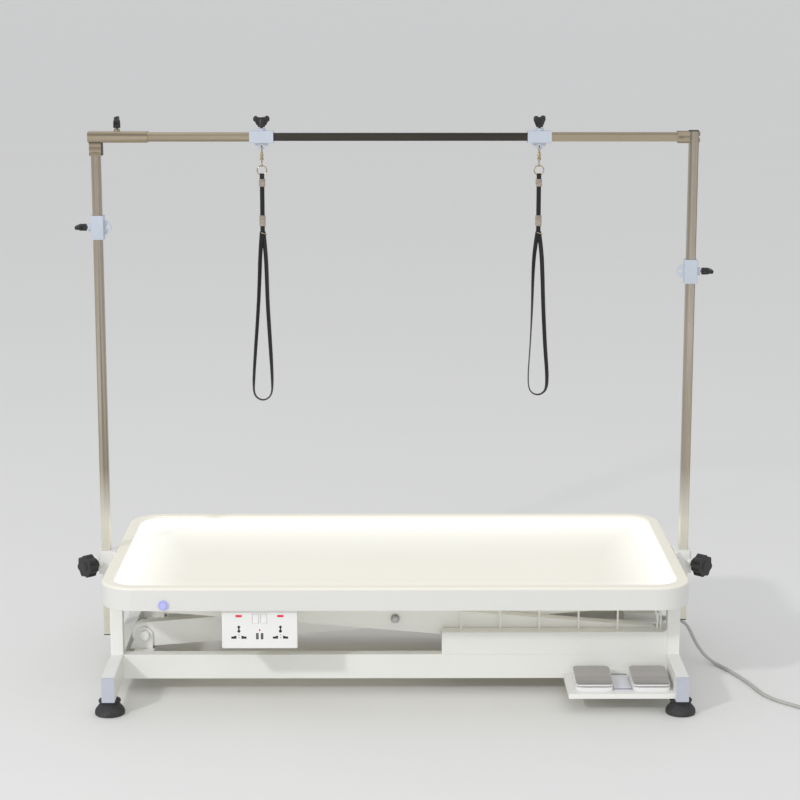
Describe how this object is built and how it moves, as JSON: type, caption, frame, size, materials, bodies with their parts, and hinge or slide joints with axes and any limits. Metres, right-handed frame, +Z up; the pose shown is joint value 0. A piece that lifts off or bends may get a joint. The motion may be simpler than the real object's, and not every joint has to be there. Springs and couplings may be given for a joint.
{
  "type": "electric pet grooming table",
  "caption": "Low electric scissor-lift grooming table with a lit top, an overhead H-frame arm, hanging nooses, post clamps, a socket panel and foot pedals.",
  "frame": {"origin": "on the floor, under the centre of the tabletop", "axes": "+X along the tabletop's length, -Y towards the groomer's side with the sockets and pedals, +Z up"},
  "size_m": [1.5824, 0.6795, 1.1362],
  "materials": {
    "white_powder_coat": "satin powder coat",
    "white_shell": "smooth satin moulding",
    "opal_light_panel": "opal acrylic lit from behind",
    "stainless_tube": "brushed along the tube",
    "black_tube": "satin black",
    "blue_grey_plastic": "moulded nylon",
    "black_plastic": "fine grained",
    "foot_rubber": "matt rubber",
    "pedal_grey": "brushed grey cover",
    "pedal_white": "gloss moulding",
    "socket_white": "gloss moulding",
    "button_blue": "translucent, lit",
    "zinc_fitting": "plated",
    "strap_black": "coated webbing",
    "cable_grey": "PVC sheath",
    "steel_mechanism": "zinc plated",
    "actuator_grey": "satin grey"
  },
  "bodies": {
    "base": {"base_frame": "white_powder_coat", "corner_columns": "white_powder_coat", "rail_end_caps": "blue_grey_plastic", "tray_rail": "white_powder_coat", "tool_rack": "white_powder_coat", "control_box": "white_powder_coat", "cable_gland": "cable_grey", "mains_lead": "cable_grey", "mains_coil": "cable_grey", "mains_plug": "cable_grey", "pedal_tray": "white_powder_coat", "pedal_housings": "pedal_white"},
    "foot_front_left": {"foot_front_left": "foot_rubber"},
    "foot_front_right": {"foot_front_right": "foot_rubber"},
    "foot_rear_left": {"foot_rear_left": "foot_rubber"},
    "foot_rear_right": {"foot_rear_right": "foot_rubber"},
    "pedal_left": {"pedal_left": "pedal_grey"},
    "pedal_right": {"pedal_right": "pedal_grey"},
    "arm_a": {"scissor_arms_a": "white_powder_coat", "arm_a_shafts": "steel_mechanism"},
    "top_rollers": {"top_rollers": "black_plastic"},
    "arm_b": {"scissor_arms_b": "white_powder_coat", "arm_b_shafts": "steel_mechanism"},
    "base_rollers": {"base_rollers": "black_plastic"},
    "tabletop": {"tabletop_frame": "white_shell", "light_panel": "opal_light_panel", "led_tray": "white_shell", "underframe": "white_powder_coat", "post_sockets": "white_powder_coat", "light_button_bezel": "stainless_tube", "power_box": "white_powder_coat", "socket_faceplate": "socket_white"},
    "light_button": {"light_button_cap": "button_blue"},
    "rocker_left": {"rocker_left": "socket_white"},
    "rocker_right": {"rocker_right": "socket_white"},
    "star_knob_left": {"star_knob_left": "black_plastic"},
    "star_knob_right": {"star_knob_right": "black_plastic"},
    "actuator_body": {"actuator_body": "actuator_grey"},
    "actuator_rod": {"actuator_rod": "steel_mechanism"},
    "arm_frame": {"posts": "stainless_tube", "post_end_caps": "black_plastic", "crossbar_tubes": "stainless_tube", "crossbar_joiner": "black_tube", "corner_sleeve": "stainless_tube", "frame_brackets": "stainless_tube"},
    "corner_screw": {"corner_wing_screw": "black_plastic"},
    "loop_clamp_left": {"loop_clamp_left": "blue_grey_plastic"},
    "loop_screw_left": {"loop_wing_screw_left": "black_plastic"},
    "eye_clamp_left": {"eye_clamp_left": "blue_grey_plastic"},
    "eye_screw_left": {"eye_wing_screw_left": "black_plastic"},
    "noose_hook_left": {"noose_hook_left": "zinc_fitting"},
    "noose_left": {"noose_fittings_left": "zinc_fitting", "noose_strap_left": "strap_black"},
    "loop_clamp_right": {"loop_clamp_right": "blue_grey_plastic"},
    "loop_screw_right": {"loop_wing_screw_right": "black_plastic"},
    "eye_clamp_right": {"eye_clamp_right": "blue_grey_plastic"},
    "eye_screw_right": {"eye_wing_screw_right": "black_plastic"},
    "noose_hook_right": {"noose_hook_right": "zinc_fitting"},
    "noose_right": {"noose_fittings_right": "zinc_fitting", "noose_strap_right": "strap_black"}
  },
  "joints": [
    {"name": "lift", "type": "hinge", "parent": "base", "child": "arm_a", "pos_m": [-0.50532, 0, 0.1035], "axis": [0, -1, 0], "range_deg": [0, 45]},
    {"name": "scissor_centre", "type": "hinge", "parent": "arm_a", "child": "arm_b", "pos_m": [0, 0, 0.14475], "axis": [0, -1, 0], "range_deg": [-90, 0]},
    {"name": "upper_pivot", "type": "hinge", "parent": "arm_b", "child": "tabletop", "pos_m": [-0.50532, 0, 0.186], "axis": [0, -1, 0], "range_deg": [0, 45]},
    {"name": "base_rollers_roll", "type": "hinge", "parent": "arm_b", "child": "base_rollers", "pos_m": [0.50532, 0, 0.1035], "axis": [0, 1, 0], "continuous": true},
    {"name": "top_rollers_roll", "type": "hinge", "parent": "arm_a", "child": "top_rollers", "pos_m": [0.50532, 0, 0.186], "axis": [0, 1, 0], "continuous": true},
    {"name": "actuator_pivot", "type": "hinge", "parent": "tabletop", "child": "actuator_body", "pos_m": [-0.2027, 0, 0.203], "axis": [0, -1, 0], "range_deg": [-58.25, 0]},
    {"name": "actuator_stroke", "type": "slide", "parent": "actuator_body", "child": "actuator_rod", "axis": [0.9619, 0, -0.2733], "range_m": [0, 0.07259]},
    {"name": "arm_frame_height", "type": "slide", "parent": "tabletop", "child": "arm_frame", "axis": [0, 0, 1], "range_m": [-0.04, 0.1]},
    {"name": "star_knob_left_turn", "type": "hinge", "parent": "tabletop", "child": "star_knob_left", "pos_m": [-0.595, 0, 0.222], "axis": [-0.7071, -0.7071, 0], "continuous": true},
    {"name": "star_knob_right_turn", "type": "hinge", "parent": "tabletop", "child": "star_knob_right", "pos_m": [0.595, 0, 0.222], "axis": [0.7071, -0.7071, 0], "continuous": true},
    {"name": "corner_screw_turn", "type": "hinge", "parent": "arm_frame", "child": "corner_screw", "pos_m": [-0.552, 0, 1.094], "axis": [0, 0, 1], "continuous": true},
    {"name": "loop_clamp_left_slide", "type": "slide", "parent": "arm_frame", "child": "loop_clamp_left", "axis": [1, 0, 0], "range_m": [-0.18, 0.18]},
    {"name": "loop_screw_left_turn", "type": "hinge", "parent": "loop_clamp_left", "child": "loop_screw_left", "pos_m": [-0.265, 0, 1.094], "axis": [0, 0, 1], "continuous": true},
    {"name": "eye_clamp_left_slide", "type": "slide", "parent": "arm_frame", "child": "eye_clamp_left", "axis": [0, 0, 1], "range_m": [-0.5, 0.1]},
    {"name": "eye_screw_left_turn", "type": "hinge", "parent": "eye_clamp_left", "child": "eye_screw_left", "pos_m": [-0.595, 0, 0.914], "axis": [-1, 0, 0], "continuous": true},
    {"name": "noose_left_swing", "type": "hinge", "parent": "loop_clamp_left", "child": "noose_hook_left", "pos_m": [-0.265, 0, 1.076], "axis": [0, 1, 0], "range_deg": [-30, 30]},
    {"name": "noose_left_swivel", "type": "hinge", "parent": "noose_hook_left", "child": "noose_left", "pos_m": [-0.265, 0, 1.05], "axis": [0, 0, 1], "continuous": true},
    {"name": "loop_clamp_right_slide", "type": "slide", "parent": "arm_frame", "child": "loop_clamp_right", "axis": [1, 0, 0], "range_m": [-0.18, 0.18]},
    {"name": "loop_screw_right_turn", "type": "hinge", "parent": "loop_clamp_right", "child": "loop_screw_right", "pos_m": [0.2875, 0, 1.094], "axis": [0, 0, 1], "continuous": true},
    {"name": "eye_clamp_right_slide", "type": "slide", "parent": "arm_frame", "child": "eye_clamp_right", "axis": [0, 0, 1], "range_m": [-0.45, 0.18]},
    {"name": "eye_screw_right_turn", "type": "hinge", "parent": "eye_clamp_right", "child": "eye_screw_right", "pos_m": [0.595, 0, 0.825], "axis": [1, 0, 0], "continuous": true},
    {"name": "noose_right_swing", "type": "hinge", "parent": "loop_clamp_right", "child": "noose_hook_right", "pos_m": [0.2875, 0, 1.076], "axis": [0, 1, 0], "range_deg": [-30, 30]},
    {"name": "noose_right_swivel", "type": "hinge", "parent": "noose_hook_right", "child": "noose_right", "pos_m": [0.2875, 0, 1.05], "axis": [0, 0, 1], "continuous": true},
    {"name": "pedal_left_press", "type": "hinge", "parent": "base", "child": "pedal_left", "pos_m": [0.3875, -0.206, 0.06], "axis": [1, 0, 0], "range_deg": [0, 2], "stiffness_Nm_per_rad": 60, "springref_deg": -1.15},
    {"name": "pedal_right_press", "type": "hinge", "parent": "base", "child": "pedal_right", "pos_m": [0.4985, -0.206, 0.06], "axis": [1, 0, 0], "range_deg": [0, 2], "stiffness_Nm_per_rad": 60, "springref_deg": -1.15},
    {"name": "rocker_left_tip", "type": "hinge", "parent": "tabletop", "child": "rocker_left", "pos_m": [-0.2704, -0.291, 0.187], "axis": [1, 0, 0], "range_deg": [0, 10]},
    {"name": "rocker_right_tip", "type": "hinge", "parent": "tabletop", "child": "rocker_right", "pos_m": [-0.2546, -0.291, 0.187], "axis": [1, 0, 0], "range_deg": [0, 10]},
    {"name": "light_button_press", "type": "slide", "parent": "tabletop", "child": "light_button", "axis": [0, 1, 0], "range_m": [0, 0.0015], "stiffness_N_per_m": 600, "springref_m": -0.001},
    {"name": "foot_front_left_level", "type": "slide", "parent": "base", "child": "foot_front_left", "axis": [0, 0, -1], "range_m": [0, 0.012]},
    {"name": "foot_front_right_level", "type": "slide", "parent": "base", "child": "foot_front_right", "axis": [0, 0, -1], "range_m": [0, 0.012]},
    {"name": "foot_rear_left_level", "type": "slide", "parent": "base", "child": "foot_rear_left", "axis": [0, 0, -1], "range_m": [0, 0.012]},
    {"name": "foot_rear_right_level", "type": "slide", "parent": "base", "child": "foot_rear_right", "axis": [0, 0, -1], "range_m": [0, 0.012]}
  ],
  "couplings": [
    {"joint": "scissor_centre", "follows": "lift", "ratio": -2},
    {"joint": "upper_pivot", "follows": "lift", "ratio": 1},
    {"joint": "actuator_pivot", "follows": "lift", "ratio": -1.2945},
    {"joint": "actuator_stroke", "follows": "lift", "m_per_rad": 0.09242}
  ]
}
